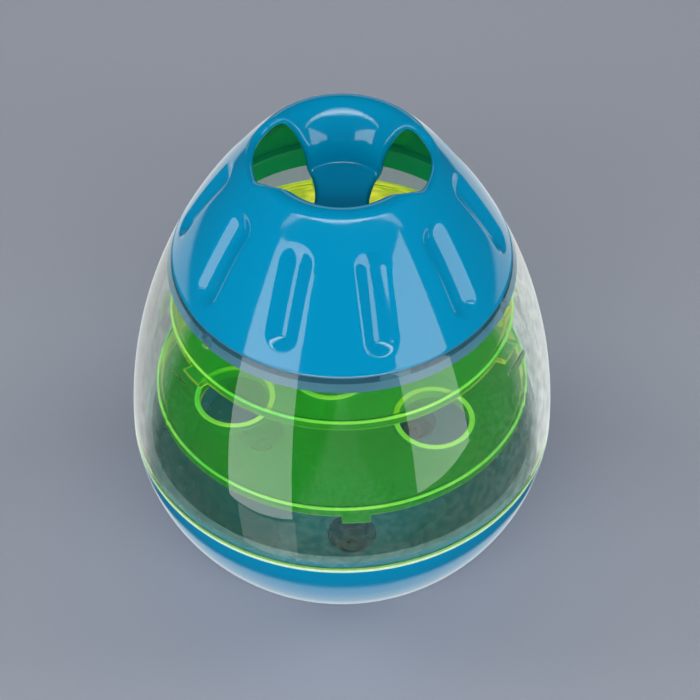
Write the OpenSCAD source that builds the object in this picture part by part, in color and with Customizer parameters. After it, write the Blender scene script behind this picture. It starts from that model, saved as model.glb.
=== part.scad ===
/* [Egg outline] */
// Largest radius of the egg, at the seam
seam_r = 65; // [60:0.5:75]
// Height of the seam above the foot
seam_z = 55; // [50:0.5:60]
// Radius of the arc that the round bottom follows
bowl_arc = 61; // [58:0.5:66]
// Radius of the flat foot
foot_r = 12; // [8:0.5:16]
// Height of the joint between the cap and the clear shell
neck_z = 125.3; // [122:0.1:127]

/* [Top cap] */
// Height of the cap above its joint with the shell
cap_rise = 39.7; // [38:0.1:42]
// Wall of the cap
cap_wall = 2.8; // [2.2:0.1:3.4]
// Radius from the axis to the middle of the rolled rim
rim_r = 23.6; // [22:0.2:25]
// Radius of the rolled rim's section
rim_roll = 3.5; // [3:0.1:4]
// Plastic kept under the crest of the rim
rim_fill = 4.2; // [3.6:0.1:5]
// Depth of the dish below the crest of the rim
dish_depth = 22; // [19:0.5:25]
// Width of the bridge at its middle
bridge_w = 15.3; // [12:0.1:18]
// Distance from the axis to the outer side of each opening
opening_r = 25; // [24:0.1:26]
// Radius of the bridge's waisted sides
bridge_arc = 30; // [24:1:36]
// Radius of the openings' corners
opening_corner = 6.5; // [4:0.1:7]
// Turn of the cap against the bottle's front
cap_turn_at_rest = -4; // [-10:1:10]

/* [Grip grooves] */
// Number of grooves
groove_count = 10; // [6:1:12]
// Length of a groove along the skin
groove_len = 31.4; // [24:0.1:33]
// Width of a groove
groove_w = 10; // [8:0.1:11]
// Depth of a groove
groove_depth = 2.1; // [1.4:0.1:2.4]
// Height of a groove's lower end above the cap's lower edge
groove_rise = 4.5; // [4:0.1:6]
// Wall kept behind a groove
groove_wall = 1.8; // [1.4:0.1:2.4]

/* [Bayonet] */
// Width of the shell's upper face, from its edge in to the neck's bore
neck_land = 3.4; // [3.2:0.1:4]
// Height of the seat ring that stands on the neck inside the cap
seat_ring_h = 1.7; // [1.2:0.1:2.4]
// Height of the neck's flange
neck_flange_h = 3.9; // [3:0.1:4.5]
// Wall of the cap's skirt
skirt_wall = 2.4; // [1.8:0.1:3]
// Reach of a lug past the skirt
lug_reach = 1.7; // [1.2:0.1:1.9]
// Height of a lug
lug_h = 1.8; // [1.4:0.1:2.4]
// Angle that a lug covers
lug_angle = 8.5; // [6:0.5:11]
// Angle that an entry slot covers
slot_angle = 10.5; // [8:0.5:14]
// Direction of the first entry slot, counted from the front
slot_azimuth = 18; // [10:1:30]
// Turn from locked to the entry slots
unlock_turn = 62; // [50:1:70]
// Width of an end stop
stop_w = 3; // [2:0.1:5]

/* [Clear shell] */
// Wall of the clear shell
shell_wall = 3; // [2.4:0.1:3.6]

/* [Discs] */
// Gap between a disc's edge and the shell's wall
disc_gap = 4.25; // [3.8:0.05:4.6]
// Depth of the upper disc's underside below the joint of cap and shell
upper_drop = 21.4; // [20.5:0.1:24]
// Direction of the upper disc's first hole
upper_hole_azimuth = -6; // [-30:1:30]
// Distance from the upper disc's edge in to the middle of its holes
upper_hole_inset = 21; // [19:0.5:23]
// Height of the lower disc's underside above the seam
lower_rise = 17.9; // [15:0.1:20]
// Direction of the lower disc's first hole
lower_hole_azimuth = 52; // [30:1:80]
// Distance from the lower disc's edge in to the middle of its holes
lower_hole_inset = 21.8; // [19:0.1:24]
// Plate thickness of a disc
disc_plate = 1.8; // [1.4:0.1:2.4]
// Height of a disc's rim and of the collars round its holes
disc_rim_h = 3.3; // [2.8:0.1:4]
// Width of a disc's rim
disc_rim_w = 1.6; // [1.2:0.1:2]
// Radius of the holes in the discs
disc_hole_r = 10.4; // [8:0.1:11]
// Width of the collar round a hole
collar_w = 2; // [1.4:0.1:2.4]
// Angle from a disc's hole back to its tab
tab_lag = 48; // [40:1:60]
// Width of an edge tab
tab_w = 8; // [6:0.5:10]
// Reach of an edge tab past the disc
tab_reach = 2.6; // [2:0.1:2.8]
// Thickness of an edge tab
tab_h = 2; // [1.6:0.1:2.6]
// Wall of the hooks that hold a tab
hook_wall = 1.2; // [1:0.1:1.8]
// Width of a hook's lip over the tab
hook_lip_w = 3; // [2:0.1:5]
// Turn that frees a disc's tabs
disc_turn = 10; // [9:0.5:14]

/* [Base] */
// Wall of the bowl
bowl_wall = 3; // [2.4:0.1:3.4]
// Wall of the cup that lines the bowl
cup_wall = 2.1; // [1.8:0.1:3]
// Rise of the cup above the seam, as a spigot inside the shell
spigot_rise = 3; // [2:0.5:5]
// Height of the cup's floor
floor_z = 29.6; // [28:0.1:33]
// Thickness of the cup's floor
floor_plate = 2; // [1.6:0.1:3]
// Gap between a screw well and the bowl's wall
well_gap = 7.7; // [6:0.1:9]
// Direction of the first screw, counted from the front
screw_azimuth = 6; // [-30:1:30]
// Radius of a screw well
well_r = 7.6; // [6:0.1:8.5]
// Depth of a screw well
well_depth = 7; // [5:0.5:8]
// Radius of a screw boss in the bowl
boss_r = 4.5; // [3.5:0.1:4.8]
// Radius of a screw's head
screw_head_r = 3.4; // [2.8:0.1:3.8]
// Height of a screw's head
screw_head_h = 2.4; // [1.8:0.1:3]
// Radius of a screw's shank
screw_shank_r = 1.75; // [1.4:0.05:2.2]
// Length of a screw's shank
screw_len = 12; // [8:0.5:12]
// Wall of the ring round the ballast puck
ring_wall = 1.5; // [1.2:0.1:2]
// Height of that ring above the puck's seat
ring_h = 7; // [4:0.5:10]
// Width of the seat under the puck
seat_w = 6; // [4:0.5:9]

/* [Clearances] */
// Gap round the skirt, the cup, its spigot and the ballast
slip_gap = 0.3; // [0.2:0.05:0.5]
// Gap between a disc's tab and its hook
tab_gap = 0.25; // [0.2:0.05:0.4]
// Gap between a screw's shank and its boss
screw_gap = 0.05; // [0.03:0.01:0.08]

/* [Hidden] */
$fn = 72;
past = 1;

crest_z = neck_z + cap_rise;
rim_c = [rim_r, crest_z - rim_roll];
rim_reach = seam_r - rim_r;
flank_arc = (pow(rim_reach, 2) + pow(rim_c[1] - seam_z, 2) - pow(rim_roll, 2)) / (2 * (rim_reach - rim_roll));
flank_c = [seam_r - flank_arc, seam_z];
rim_touch = rim_c + rim_roll * (rim_c - flank_c) / norm(rim_c - flank_c);
dish_z = crest_z - dish_depth;
dish_rise = dish_z - rim_c[1];
dish_arc = (pow(rim_r, 2) + pow(dish_rise, 2) - pow(rim_roll, 2)) / (2 * (rim_roll - dish_rise));
dish_c = [0, dish_z + dish_arc];
hollow_top = crest_z - rim_fill;

bowl_chord = [seam_r - foot_r, seam_z];
bowl_sag = sqrt(pow(bowl_arc, 2) - pow(norm(bowl_chord) / 2, 2));
bowl_c = [(seam_r + foot_r) / 2 - bowl_sag * bowl_chord[1] / norm(bowl_chord),
          seam_z / 2 + bowl_sag * bowl_chord[0] / norm(bowl_chord)];

neck_bore_r = arc_r(flank_c, flank_arc, neck_z) - neck_land;
skirt_r = neck_bore_r - slip_gap;
lug_r = skirt_r + lug_reach;
flange_z = neck_z - neck_flange_h;
lug_top = flange_z - slip_gap;
skirt_z = lug_top - lug_h;

opening_c = bridge_w / 2 + bridge_arc;
corner_x = (pow(opening_r - opening_corner, 2) - pow(bridge_arc - opening_corner, 2) + pow(opening_c, 2))
           / (2 * opening_c);
corner_y = sqrt(pow(opening_r - opening_corner, 2) - pow(corner_x, 2));

groove_arc = pow(groove_w, 2) / (8 * groove_depth) + groove_depth / 2;
groove_reach = flank_arc - groove_depth + groove_arc;
groove_low = asin((neck_z + groove_rise - seam_z) / flank_arc) + groove_w / 2 / flank_arc * 180 / PI;
groove_high = groove_low + (groove_len - groove_w) / flank_arc * 180 / PI;
groove_run = 2 * groove_reach * sin((groove_high - groove_low) / 2);

upper_z = neck_z - upper_drop;
upper_r = arc_r(flank_c, flank_arc - shell_wall, upper_z) - disc_gap;
lower_z = seam_z + lower_rise;
lower_r = arc_r(flank_c, flank_arc - shell_wall, lower_z) - disc_gap;

well_floor_z = floor_z - well_depth;
boss_top = well_floor_z - floor_plate;
screw_ring = arc_r(bowl_c, bowl_arc - bowl_wall, boss_top) - well_gap - floor_plate - well_r;
ring_r = screw_ring - boss_r;
ballast_r = ring_r - ring_wall - slip_gap;
ballast_seat_z = bowl_c[1] - sqrt(pow(bowl_arc - bowl_wall, 2) - pow(ring_r - bowl_c[0], 2)) + slip_gap;
ballast_h = boss_top - slip_gap - ballast_seat_z;

// Radius of an upright arc of radius arc about centre c, at height z
function arc_r(c, arc, z) = c[0] + sqrt(pow(arc, 2) - pow(z - c[1], 2));
// Direction of azimuth a, counted from the front towards +X
function ahead(a) = a - 90;

module threefold(a) {
  for (k = [0:2]) rotate([0, 0, ahead(a) + 120 * k]) children();
}

// Ring segment of angle a centred on +X
module segment(r_in, r_out, z_low, z_high, a) {
  reach = 2 * r_out;
  translate([0, 0, z_low]) linear_extrude(z_high - z_low) intersection() {
    difference() {
      circle(r_out);
      circle(r_in);
    }
    polygon([[0, 0], [reach, -reach * tan(a / 2)], [reach, reach * tan(a / 2)]]);
  }
}

module band(z_low, z_high, r_low = 0) {
  translate([r_low, z_low]) square([2 * seam_r, z_high - z_low]);
}

module top_cap_section() {
  difference() {
    union() {
      difference() {
        intersection() {
          translate(flank_c) circle(flank_arc);
          polygon([[0, neck_z], [2 * seam_r, neck_z], [2 * seam_r, rim_touch[1]], rim_touch, rim_c, dish_c]);
        }
        translate(dish_c) circle(dish_arc);
      }
      translate(rim_c) circle(rim_roll);
      skirt_section();
    }
    difference() {
      intersection() {
        translate(flank_c) circle(flank_arc - cap_wall);
        band(neck_z + seat_ring_h, hollow_top);
      }
      translate(dish_c) circle(dish_arc + cap_wall);
    }
    translate([0, skirt_z - past]) square([skirt_r - skirt_wall, neck_z + seat_ring_h + 2 * past - skirt_z]);
  }
}

module skirt_section() {
  translate([skirt_r - skirt_wall, skirt_z]) square([skirt_wall, neck_z - skirt_z + seat_ring_h / 2]);
}

// Bar with round ends, laid along the skin in the plane of +X and +Z
module groove_bar(r) {
  foot = [flank_c[0] + groove_reach * cos(groove_low), seam_z + groove_reach * sin(groove_low)];
  lean = (groove_low + groove_high) / 2;
  translate([foot[0], 0, foot[1]]) rotate([0, -lean, 0]) {
    cylinder(r = r, h = groove_run);
    sphere(r);
    translate([0, 0, groove_run]) sphere(r);
  }
}

module grooves(r) {
  for (k = [0:groove_count - 1]) rotate([0, 0, (k + 0.5) * 360 / groove_count + 90]) groove_bar(r);
}

module groove_backs() {
  intersection() {
    rotate_extrude() intersection() {
      translate(flank_c) circle(flank_arc - cap_wall / 2);
      band(neck_z + seat_ring_h, hollow_top, skirt_r / 2);
    }
    grooves(groove_arc + groove_wall);
  }
}

// One opening in plan: a lens between two arcs, with its two points rounded
module opening_plan() {
  difference() {
    intersection() {
      circle(opening_r);
      translate([opening_c, 0]) circle(bridge_arc);
    }
    for (s = [-1, 1]) opening_tip(s);
  }
  for (s = [-1, 1]) translate([corner_x, s * corner_y]) circle(opening_corner);
}

module opening_tip(s) {
  c = [corner_x, s * corner_y];
  outward = c / norm(c);
  inward = (c - [opening_c, 0]) / norm(c - [opening_c, 0]);
  far = 3 * opening_corner;
  polygon([c, c + far * outward, c + far * [0, s], c + far * inward]);
}

module top_cap() {
  color([0.0, 0.57, 0.75]) rotate([0, 0, cap_turn_at_rest]) {
    difference() {
      union() {
        rotate_extrude() top_cap_section();
        groove_backs();
      }
      grooves(groove_arc);
      for (s = [0, 180]) rotate([0, 0, s])
        translate([0, 0, dish_z - 2 * cap_wall]) linear_extrude(crest_z) opening_plan();
    }
  }
  color([0.0, 0.57, 0.75]) threefold(slot_azimuth - unlock_turn)
    segment(skirt_r - skirt_wall / 2, lug_r, skirt_z, lug_top, lug_angle);
}

module clear_shell_section() {
  difference() {
    intersection() {
      translate(flank_c) circle(flank_arc);
      band(seam_z, neck_z);
    }
    intersection() {
      translate(flank_c) circle(flank_arc - shell_wall);
      band(seam_z - past, flange_z);
    }
    translate([0, flange_z - past]) square([neck_bore_r, neck_flange_h + 2 * past]);
  }
}

// Skin of the inner wall between two heights, inside radius r_in, of angle a centred on +X
module wall_block(r_in, z_low, z_high, a) {
  intersection() {
    rotate_extrude() intersection() {
      translate(flank_c) circle(flank_arc - shell_wall / 2);
      band(z_low, z_high, r_in);
    }
    segment(r_in - past, seam_r, z_low - past, z_high + past, a);
  }
}

module clear_shell() {
  color([0.85, 0.93, 0.93, 0.35]) {
    difference() {
      rotate_extrude() clear_shell_section();
      threefold(slot_azimuth)
        segment(neck_bore_r - past, lug_r + slip_gap, flange_z - past, neck_z + past, slot_angle);
    }
    bayonet_stops();
    hooks(upper_r, upper_z, upper_hole_azimuth);
    hooks(lower_r, lower_z, lower_hole_azimuth);
  }
}

module bayonet_stops() {
  stop_angle = stop_w / lug_r * 180 / PI;
  slack = 2 * slip_gap / lug_r * 180 / PI;
  threefold(slot_azimuth - unlock_turn - lug_angle / 2 - slack - stop_angle / 2)
    wall_block(neck_bore_r + slip_gap, skirt_z, flange_z + past, stop_angle);
}

// The hooks of one disc: each is a block on the wall, cut so that a shelf stays under the tab, a stop
// beside it and a short lip over it, and the tab drops free once it has turned past the shelf
module hooks(r, z, hole_azimuth) {
  deg = 180 / PI / r;
  slack = 2 * tab_gap * deg;
  stop_face = -tab_w / 2 * deg - slack;
  stop_end = stop_face - hook_wall * deg;
  shelf_end = stop_face + min(tab_w * deg, disc_turn - 2 * slack);
  low = z - tab_gap - hook_wall;
  lip_z = z + tab_h + tab_gap;
  threefold(hole_azimuth - tab_lag) difference() {
    rotate([0, 0, (stop_end + shelf_end) / 2])
      wall_block(r + 2 * tab_gap, low, lip_z + hook_wall, shelf_end - stop_end);
    cut_from(r, stop_face, z - tab_gap, lip_z, shelf_end);
    cut_from(r, stop_face + hook_lip_w * deg, z + tab_h / 2, lip_z + hook_wall + past, shelf_end);
  }
}

// Room cut out of a hook's block, from direction a on past the block's end
module cut_from(r, a, z_low, z_high, a_end) {
  angle = a_end - a + past;
  rotate([0, 0, a + angle / 2]) segment(r - past, seam_r + past, z_low, z_high, angle);
}

module disc(r, z, hole_inset, hole_azimuth) {
  hole_ring = r - hole_inset;
  translate([0, 0, z]) difference() {
    union() {
      cylinder(r = r, h = disc_plate);
      difference() {
        cylinder(r = r, h = disc_rim_h);
        translate([0, 0, disc_plate / 2]) cylinder(r = r - disc_rim_w, h = disc_rim_h);
      }
      threefold(hole_azimuth) translate([hole_ring, 0, 0]) cylinder(r = disc_hole_r + collar_w, h = disc_rim_h);
      threefold(hole_azimuth - tab_lag) intersection() {
        translate([r - disc_rim_w, -tab_w / 2, 0]) cube([disc_rim_w + 2 * tab_reach, tab_w, tab_h]);
        cylinder(r = r + tab_reach, h = tab_h);
      }
    }
    threefold(hole_azimuth) translate([hole_ring, 0, -past]) cylinder(r = disc_hole_r, h = disc_rim_h + 2 * past);
  }
}

module upper_disc() {
  color([0.45, 0.85, 0.1, 0.6]) disc(upper_r, upper_z, upper_hole_inset, upper_hole_azimuth);
}

module lower_disc() {
  color([0.45, 0.85, 0.1, 0.6]) disc(lower_r, lower_z, lower_hole_inset, lower_hole_azimuth);
}

module base_bowl_section() {
  difference() {
    intersection() {
      translate(bowl_c) circle(bowl_arc);
      band(0, seam_z);
    }
    translate(bowl_c) circle(bowl_arc - bowl_wall);
  }
  intersection() {
    difference() {
      translate(bowl_c) circle(bowl_arc - bowl_wall / 2);
      translate([0, ballast_seat_z]) square([ballast_r + slip_gap, 2 * seam_z]);
      square([ballast_r - seat_w, 2 * seam_z]);
    }
    square([ring_r, ballast_seat_z + ring_h]);
  }
}

module base_bowl() {
  color([0.0, 0.57, 0.75]) difference() {
    union() {
      rotate_extrude() base_bowl_section();
      intersection() {
        rotate_extrude() intersection() {
          translate(bowl_c) circle(bowl_arc - bowl_wall / 2);
          band(0, boss_top);
        }
        threefold(screw_azimuth) translate([screw_ring, 0, 0]) cylinder(r = boss_r, h = boss_top);
      }
    }
    threefold(screw_azimuth) translate([screw_ring, 0, well_floor_z - screw_len - past])
      cylinder(r = screw_shank_r + screw_gap, h = screw_len);
  }
}

// The cup's wall follows the bowl, and above the seam it is turned down to fit inside the shell
module base_floor_section() {
  skin = bowl_arc - bowl_wall - slip_gap;
  top = seam_z + spigot_rise;
  difference() {
    intersection() {
      translate(bowl_c) circle(skin);
      band(floor_z - floor_plate, top);
    }
    intersection() {
      translate(bowl_c) circle(skin - cup_wall);
      band(floor_z, top + past);
    }
    translate([seam_r - shell_wall - slip_gap, seam_z]) square([shell_wall, spigot_rise + past]);
  }
}

module base_floor() {
  ballast_top = ballast_seat_z + ballast_h;
  hold_down_r = screw_ring / 2;
  color([0.03, 0.2, 0.32]) difference() {
    union() {
      rotate_extrude() base_floor_section();
      threefold(screw_azimuth) translate([screw_ring, 0, boss_top])
        cylinder(r = well_r + floor_plate, h = floor_z - boss_top);
      translate([0, 0, ballast_top + slip_gap]) difference() {
        cylinder(r = hold_down_r, h = floor_z - floor_plate - ballast_top);
        translate([0, 0, -past]) cylinder(r = hold_down_r - floor_plate, h = floor_z - floor_plate - ballast_top);
      }
    }
    threefold(screw_azimuth) translate([screw_ring, 0, 0]) {
      translate([0, 0, well_floor_z]) cylinder(r = well_r, h = well_depth + past);
      cylinder(r = screw_shank_r + slip_gap, h = floor_z);
    }
  }
}

module floor_screw() {
  slot_w = screw_head_r / 3;
  difference() {
    union() {
      cylinder(r = screw_head_r, h = screw_head_h);
      translate([0, 0, -screw_len]) cylinder(r = screw_shank_r, h = screw_len);
    }
    for (a = [0, 90]) rotate([0, 0, a])
      translate([-screw_head_r / 2, -slot_w / 2, screw_head_h / 2]) cube([screw_head_r, slot_w, screw_head_h]);
  }
}

module floor_screws() {
  color("silver") threefold(screw_azimuth) translate([screw_ring, 0, well_floor_z]) floor_screw();
}

module ballast_weight() {
  bevel = 1;
  color("dimgray") translate([0, 0, ballast_seat_z]) rotate_extrude()
    polygon([[0, 0], [ballast_r - bevel, 0], [ballast_r, bevel], [ballast_r, ballast_h - bevel],
             [ballast_r - bevel, ballast_h], [0, ballast_h]]);
}

top_cap();
clear_shell();
upper_disc();
lower_disc();
base_bowl();
base_floor();
floor_screws();
ballast_weight();
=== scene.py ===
"""Looks of the treat dispensing wobble toy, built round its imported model. Metres, +Z up, front at -Y."""

import math

import bmesh
import bpy
import numpy as np
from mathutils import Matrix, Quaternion, Vector


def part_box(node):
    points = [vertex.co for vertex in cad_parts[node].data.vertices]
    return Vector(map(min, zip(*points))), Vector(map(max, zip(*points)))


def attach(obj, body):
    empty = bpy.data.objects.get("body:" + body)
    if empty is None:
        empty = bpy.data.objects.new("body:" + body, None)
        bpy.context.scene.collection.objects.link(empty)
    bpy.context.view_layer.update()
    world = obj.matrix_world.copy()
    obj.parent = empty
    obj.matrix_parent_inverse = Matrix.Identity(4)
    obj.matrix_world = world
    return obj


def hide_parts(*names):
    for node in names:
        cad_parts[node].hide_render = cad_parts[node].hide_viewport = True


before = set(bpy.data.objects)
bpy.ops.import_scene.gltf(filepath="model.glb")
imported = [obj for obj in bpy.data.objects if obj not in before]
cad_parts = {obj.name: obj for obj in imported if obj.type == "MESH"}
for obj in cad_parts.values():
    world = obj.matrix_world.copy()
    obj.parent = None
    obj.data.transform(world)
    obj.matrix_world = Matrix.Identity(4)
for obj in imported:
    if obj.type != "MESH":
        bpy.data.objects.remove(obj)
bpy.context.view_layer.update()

# Base bowl. The round bottom that the toy rocks on, injection moulded in glossy blue plastic, open at
# the seam. Its solid is right as it is, so it only gets its finish.
MM = 0.001
CAP_BLUE = (0.0, 0.27, 0.5)
MOULDED_IOR = 1.5
# All noises are counted in waves a metre.
HANDLED_WAVES, PEEL_WAVES, PEEL_DEPTH = 60, 170, 0.01 * MM


def new_material(name):
    """A new material, with its Principled shader and its node tree."""
    mat = bpy.data.materials.new(name)
    mat.use_nodes = True
    return mat, mat.node_tree.nodes["Principled BSDF"], mat.node_tree


def add_node(tree, kind, **inputs):
    """A node of that kind, with inputs set by name, where _ stands for a space."""
    made = tree.nodes.new(kind)
    for name, value in inputs.items():
        made.inputs[name.replace("_", " ")].default_value = value
    return made


def object_noise(tree, waves, detail=3.0):
    """Noise on Object coordinates, of so many waves a metre."""
    place = tree.nodes.new("ShaderNodeTexCoord")
    noise = add_node(tree, "ShaderNodeTexNoise", Scale=waves, Detail=detail)
    tree.links.new(place.outputs["Object"], noise.inputs["Vector"])
    return noise.outputs["Fac"]


def ranged(tree, source, low, high, out_low, out_high):
    """A value moved in a straight line from low..high to out_low..out_high, and held at those ends."""
    ends = {"From_Min": low, "From_Max": high, "To_Min": out_low, "To_Max": out_high}
    made = add_node(tree, "ShaderNodeMapRange", **ends)
    tree.links.new(source, made.inputs["Value"])
    return made.outputs["Result"]


def add_bump(tree, height, depth, shader):
    """Bumps the shader by height times depth, in metres."""
    made = add_node(tree, "ShaderNodeBump", Strength=1.0, Distance=depth)
    tree.links.new(height, made.inputs["Height"])
    tree.links.new(made.outputs["Normal"], shader.inputs["Normal"])


def uneven_gloss(tree, shader, waves, noise_span, roughness_span):
    """Roughness that follows a noise, so that one span of noise gives the other of roughness. Noise lies
    mostly between 0.3 and 0.7."""
    rough = ranged(tree, object_noise(tree, waves), *noise_span, *roughness_span)
    tree.links.new(rough, shader.inputs["Roughness"])


def glossy_plastic(name, colour, roughness):
    """Moulded plastic whose skin waves a little, like orange peel, and is less smooth where handled."""
    mat, shader, tree = new_material(name)
    shader.inputs["Base Color"].default_value = (*colour, 1)
    shader.inputs["IOR"].default_value = MOULDED_IOR
    uneven_gloss(tree, shader, HANDLED_WAVES, (0.35, 0.7), (roughness * 0.8, roughness * 1.5))
    add_bump(tree, object_noise(tree, PEEL_WAVES, 1.0), PEEL_DEPTH, shader)
    return mat


def finish_node(name, mat):
    """Puts the material in every slot of a CAD node's object."""
    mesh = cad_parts[name].data
    if not mesh.materials:
        mesh.materials.append(mat)
    for k in range(len(mesh.materials)):
        mesh.materials[k] = mat


finish_node("base_bowl", glossy_plastic("base_blue_gloss", CAP_BLUE, 0.07))

# Ballast weight. A cast iron puck in the ring at the bottom of the bowl, blackened, with a sandy skin.
IRON_BLACK = (0.03, 0.03, 0.033)
SAND_WAVES, SAND_DEPTH = 1500, 0.08 * MM
mat, shader, tree = new_material("cast_iron_black")
shader.inputs["Base Color"].default_value = (*IRON_BLACK, 1)
shader.inputs["Metallic"].default_value = 0.7
shader.inputs["Roughness"].default_value = 0.6
add_bump(tree, object_noise(tree, SAND_WAVES, 4.0), SAND_DEPTH, shader)
finish_node("ballast_weight", mat)

# Base floor. The cup that lines the bowl over the ballast, dark blue satin plastic, with three screw
# wells in its floor. Its rim stands above the seam as the spigot of the clear shell, and its top edge
# is painted paler, a painted highlight where light would catch it.
CUP_BLUE, CUP_RIM_HIGHLIGHT = (0.0, 0.14, 0.2), (0.09, 0.18, 0.19)
CUP_RIM_HIGHLIGHT_Z, CUP_RIM_HIGHLIGHT_FADE = 57.6 * MM, 0.3 * MM


def object_place(tree):
    """The X, Y and Z of Object coordinates."""
    place = tree.nodes.new("ShaderNodeTexCoord")
    xyz = tree.nodes.new("ShaderNodeSeparateXYZ")
    tree.links.new(place.outputs["Object"], xyz.inputs[0])
    return xyz.outputs


def mixed_colour(tree, factor, first, second, socket):
    """Leads a mix of two colours to a socket."""
    made = tree.nodes.new("ShaderNodeMix")
    made.data_type = "RGBA"
    made.inputs["A"].default_value, made.inputs["B"].default_value = (*first, 1), (*second, 1)
    tree.links.new(factor, made.inputs["Factor"])
    tree.links.new(made.outputs["Result"], socket)


mat = glossy_plastic("cup_blue_painted_rim_highlight", CUP_BLUE, 0.22)
tree = mat.node_tree
# Above its mark height the rim's top is painted paler: a painted highlight, not the cup's own colour.
edge = ranged(tree, object_place(tree)["Z"], CUP_RIM_HIGHLIGHT_Z, CUP_RIM_HIGHLIGHT_Z + CUP_RIM_HIGHLIGHT_FADE, 0.0, 1.0)
mixed_colour(tree, edge, CUP_BLUE, CUP_RIM_HIGHLIGHT, tree.nodes["Principled BSDF"].inputs["Base Color"])
finish_node("base_floor", mat)

# Floor screws. Pan head screws, plated in black zinc, at the bottom of the wells.
ZINC_BLACK, ZINC_WAVES = (0.02, 0.11, 0.15), 700
mat, shader, tree = new_material("black_zinc_plate")
shader.inputs["Base Color"].default_value = (*ZINC_BLACK, 1)
shader.inputs["Metallic"].default_value = 0.3
uneven_gloss(tree, shader, ZINC_WAVES, (0.3, 0.7), (0.4, 0.6))
finish_node("floor_screws", mat)

# Clear shell. The see-through middle of the egg, moulded in polished clear plastic. Its neck has a
# flange with three entry slots for the cap's lugs, and hooks on its inner wall hold the discs. One arc
# makes its flank and the cap's, from upright at the seam to where it touches the cap's rolled rim.
SEAM_Z, NECK_Z = (corner.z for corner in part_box("clear_shell"))
SEAM_R = 65 * MM
RIM_R, RIM_ROLL = 23.6 * MM, 3.5 * MM
RIM_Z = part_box("top_cap")[1].z - RIM_ROLL
RIM_IN, RIM_UP = SEAM_R - RIM_R, RIM_Z - SEAM_Z
FLANK_ARC = (RIM_IN**2 + RIM_UP**2 - RIM_ROLL**2) / (2 * (RIM_IN - RIM_ROLL))
SHELL_WALL, NECK_WALL = 3 * MM, 3.4 * MM
GAP = 0.3 * MM
# The neck's flange, and the cap's lugs under it. Lugs, slots, azimuths and turns are in degrees.
FLANGE_H, LUG_H, LUG_REACH = 3.9 * MM, 1.8 * MM, 1.7 * MM
FLANGE_Z = NECK_Z - FLANGE_H
LUG_LOW, LUG_HIGH = FLANGE_Z - GAP - LUG_H, FLANGE_Z - GAP
LUG_ANGLE, SLOT_ANGLE, SLOT_AZIMUTH, UNLOCK_TURN = 8.5, 10.5, 18, 62
STOP_W = 3 * MM
# The discs' tabs, TAB_LAG degrees behind the holes, and the hooks. The discs' edge stands DISC_CLEAR off
# the wall, and the hooks' faces stand HOOK_CLEAR off the discs' edge, so they show as faint marks.
DISC_CLEAR = 4.25 * MM
TAB_W, TAB_H, TAB_REACH, TAB_GAP, TAB_LAG = 8 * MM, 2 * MM, 2.6 * MM, 0.25 * MM, 48
HOOK_WALL, HOOK_LIP_W, HOOK_CLEAR, DISC_TURN = 1.2 * MM, 3 * MM, 4.4 * MM, 10
BLOCK_SOFT = 0.8 * MM
# The clear plastic, which tints lamp light by CLEAR_SHADOW, the shaded strip inside its neck down to
# NECK_SHADE_Z, and its foot, opaque, with a painted highlight outside and painted lime glow inside.
CLEAR_TINT, CLEAR_SHADOW, CLEAR_IOR = (0.96, 0.985, 0.985), (0.9, 0.94, 0.94), 1.49
CLEAR_HAZE_WAVES, CLEAR_SKIN_WAVES, CLEAR_SKIN_DEPTH = 45, 55, 0.02 * MM
NECK_SHADE, NECK_SHADE_Z = (0.045, 0.17, 0.24), 119 * MM
FOOT_PAINTED_HIGHLIGHT, FOOT_PAINTED_HIGHLIGHT_W, FOOT_PAINTED_LIME_GLOW = (0.52, 0.66, 0.48), 1.9 * MM, (0.16, 0.36, 0.07)
FOOT_PAINTED_GLOW, FOOT_WAVES = 0.4, 300


def flank_r(z, inset=0.0):
    """Radius at height z of the flank's arc, moved in by inset: the arc's centre plus its half chord."""
    return SEAM_R - FLANK_ARC + np.sqrt((FLANK_ARC - inset) ** 2 - (z - SEAM_Z) ** 2)


def disc_place(name, inset, azimuth):
    """A disc's height, its radius inside the shell, how far its holes' middles lie in from its edge, and
    the azimuth of its first hole."""
    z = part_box(name)[0].z
    return {"z": z, "r": float(flank_r(z, SHELL_WALL)) - DISC_CLEAR, "inset": inset, "azimuth": azimuth}


NECK_BORE = float(flank_r(NECK_Z)) - NECK_WALL
LUG_R = NECK_BORE - GAP + LUG_REACH
UPPER = disc_place("upper_disc", 21 * MM, -6)
LOWER = disc_place("lower_disc", 21.8 * MM, 52)


def threefold(azimuth):
    """Angles in degrees from +X of an azimuth counted from the front, and of its two copies."""
    return [azimuth - 90 + 120 * k for k in range(3)]


def ruled(edges, low, high, step, soft, count=2):
    """Even lines from low to high, cleared near each edge, with count lines across each edge."""
    even = np.linspace(low, high, round((high - low) / step) + 1)
    edges = np.array(edges, float)[:, None]
    even = even[np.all(np.abs(even - edges) > 1.5 * soft, axis=0)]
    return np.unique(np.round(np.append(even, edges + np.linspace(-soft, soft, count)), 9))


def eased(x, low, high, soft):
    """One between low and high and nothing outside, with a smooth cubic step at both ends."""
    up, down = (np.clip((x - edge) / (2 * soft) + 0.5, 0, 1) for edge in (low, high))
    return up * up * (3 - 2 * up) - down * down * (3 - 2 * down)


def turned(r, z, angle):
    """Points at radius r and height z in the direction of an angle in degrees, as one array."""
    a = np.radians(angle)
    return np.stack(np.broadcast_arrays(r * np.cos(a), r * np.sin(a), z), -1)


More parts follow.
